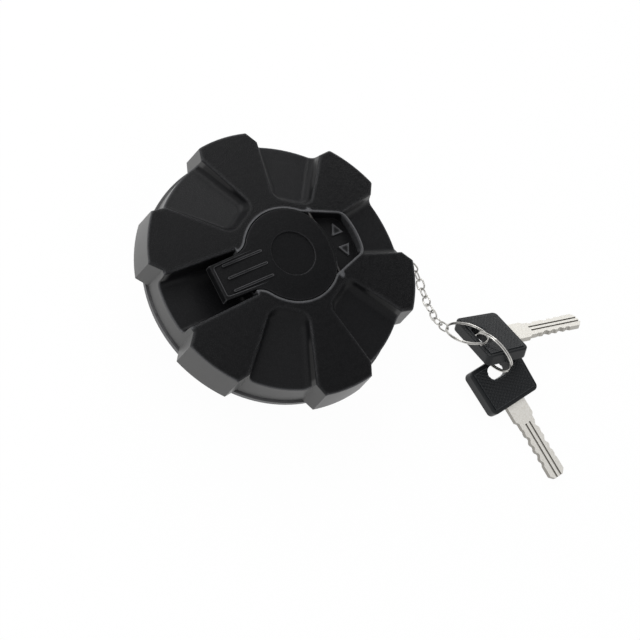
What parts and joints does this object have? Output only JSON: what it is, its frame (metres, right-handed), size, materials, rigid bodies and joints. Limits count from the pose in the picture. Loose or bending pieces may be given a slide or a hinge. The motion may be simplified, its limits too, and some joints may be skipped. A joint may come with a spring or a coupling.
{
  "type": "fuel filler cap",
  "caption": "Locking fuel filler cap with a lobed grip, hinged key cover, bayonet plug and a chain carrying a split ring and a pair of keys.",
  "frame": {"origin": "centre of the plug at the gasket's sealing face", "axes": "+Z along the cap's axis towards the grip's crown, the cover's tab points to -Y"},
  "size_m": [0.182, 0.1953, 0.0511],
  "materials": {
    "shell_plastic": "fine leather grain, satin",
    "ring_plastic": "smooth, satin",
    "plug_plastic": "smooth moulded",
    "key_plastic": "diamond knurl with a smooth rim",
    "seal_rubber": "smooth rubber",
    "zinc_steel": "bright zinc plate",
    "spring_steel": "drawn wire",
    "nickel_brass": "nickel-plated brass",
    "brass": "bare brass",
    "nickel_plate": "bright nickel plate",
    "key_nickel": "nickel plate, light satin"
  },
  "bodies": {
    "plug": {"plug_body": "plug_plastic", "gasket": "seal_rubber", "plug_cap": "plug_plastic", "cap_screws": "zinc_steel", "vent_cage": "plug_plastic", "pressure_spring": "spring_steel", "vent_spring": "spring_steel"},
    "bridge": {"bayonet_bridge": "zinc_steel"},
    "vent": {"vent_poppet": "seal_rubber"},
    "grip": {"grip_shell": "shell_plastic", "base_ring": "ring_plastic", "base_screws": "zinc_steel", "cover_pin": "zinc_steel", "lock_barrel": "nickel_brass"},
    "cover": {"key_cover": "shell_plastic"},
    "lock_core": {"lock_cylinder": "nickel_brass", "lock_wafers": "brass", "lock_cam": "zinc_steel", "cam_screw": "zinc_steel"},
    "bolt": {"locking_bolt": "zinc_steel"},
    "chain": {"chain_links": "nickel_plate"},
    "chain_split_ring": {"chain_ring": "nickel_plate"},
    "key_split_ring": {"key_ring": "nickel_plate"},
    "key_1": {"key_1_head": "key_plastic", "key_1_blade": "key_nickel"},
    "key_2": {"key_2_head": "key_plastic", "key_2_blade": "key_nickel"}
  },
  "joints": [
    {"name": "grip_turn", "type": "hinge", "parent": "plug", "child": "grip", "pos_m": [0, 0, 0], "axis": [0, 0, 1], "continuous": true},
    {"name": "cover_hinge", "type": "hinge", "parent": "grip", "child": "cover", "pos_m": [0, 0.0164, 0.0242], "axis": [-1, 0, 0], "range_deg": [0, 95]},
    {"name": "key_turn", "type": "hinge", "parent": "grip", "child": "lock_core", "pos_m": [0, 0, 0], "axis": [0, 0, 1], "range_deg": [0, 90]},
    {"name": "bolt_throw", "type": "slide", "parent": "grip", "child": "bolt", "axis": [1, 0, 0], "range_m": [0, 0.0026]},
    {"name": "bridge_press", "type": "slide", "parent": "plug", "child": "bridge", "axis": [0, 0, -1], "range_m": [0, 0.003], "stiffness_N_per_m": 2000, "springref_m": -0.0015, "deforming": ["pressure_spring"]},
    {"name": "vent_open", "type": "slide", "parent": "plug", "child": "vent", "axis": [0, 0, -1], "range_m": [0, 0.0015], "stiffness_N_per_m": 150, "springref_m": -0.001, "deforming": ["vent_spring"]},
    {"name": "chain_swing", "type": "hinge", "parent": "grip", "child": "chain", "pos_m": [0.00986, 0.05594, 0.0018], "axis": [0, 0, 1], "range_deg": [-12, 15]},
    {"name": "chain_ring_swing", "type": "hinge", "parent": "chain", "child": "chain_split_ring", "pos_m": [0.04576, 0.07288, -0.01172], "axis": [0, 0, 1], "range_deg": [-6, 8]},
    {"name": "key_ring_swing", "type": "hinge", "parent": "chain_split_ring", "child": "key_split_ring", "pos_m": [0.0577, 0.08558, -0.00509], "axis": [0, 0, 1], "range_deg": [0, 12]},
    {"name": "key_1_swing", "type": "hinge", "parent": "key_split_ring", "child": "key_1", "pos_m": [0.05628, 0.0872, -0.0138], "axis": [0, 0, 1], "range_deg": [0, 14]},
    {"name": "key_2_swing", "type": "hinge", "parent": "key_split_ring", "child": "key_2", "pos_m": [0.07068, 0.08956, -0.01826], "axis": [0, 0, 1], "range_deg": [-4, 0]}
  ],
  "couplings": [
    {"joint": "bolt_throw", "follows": "key_turn", "m_per_rad": 0.0016552}
  ]
}
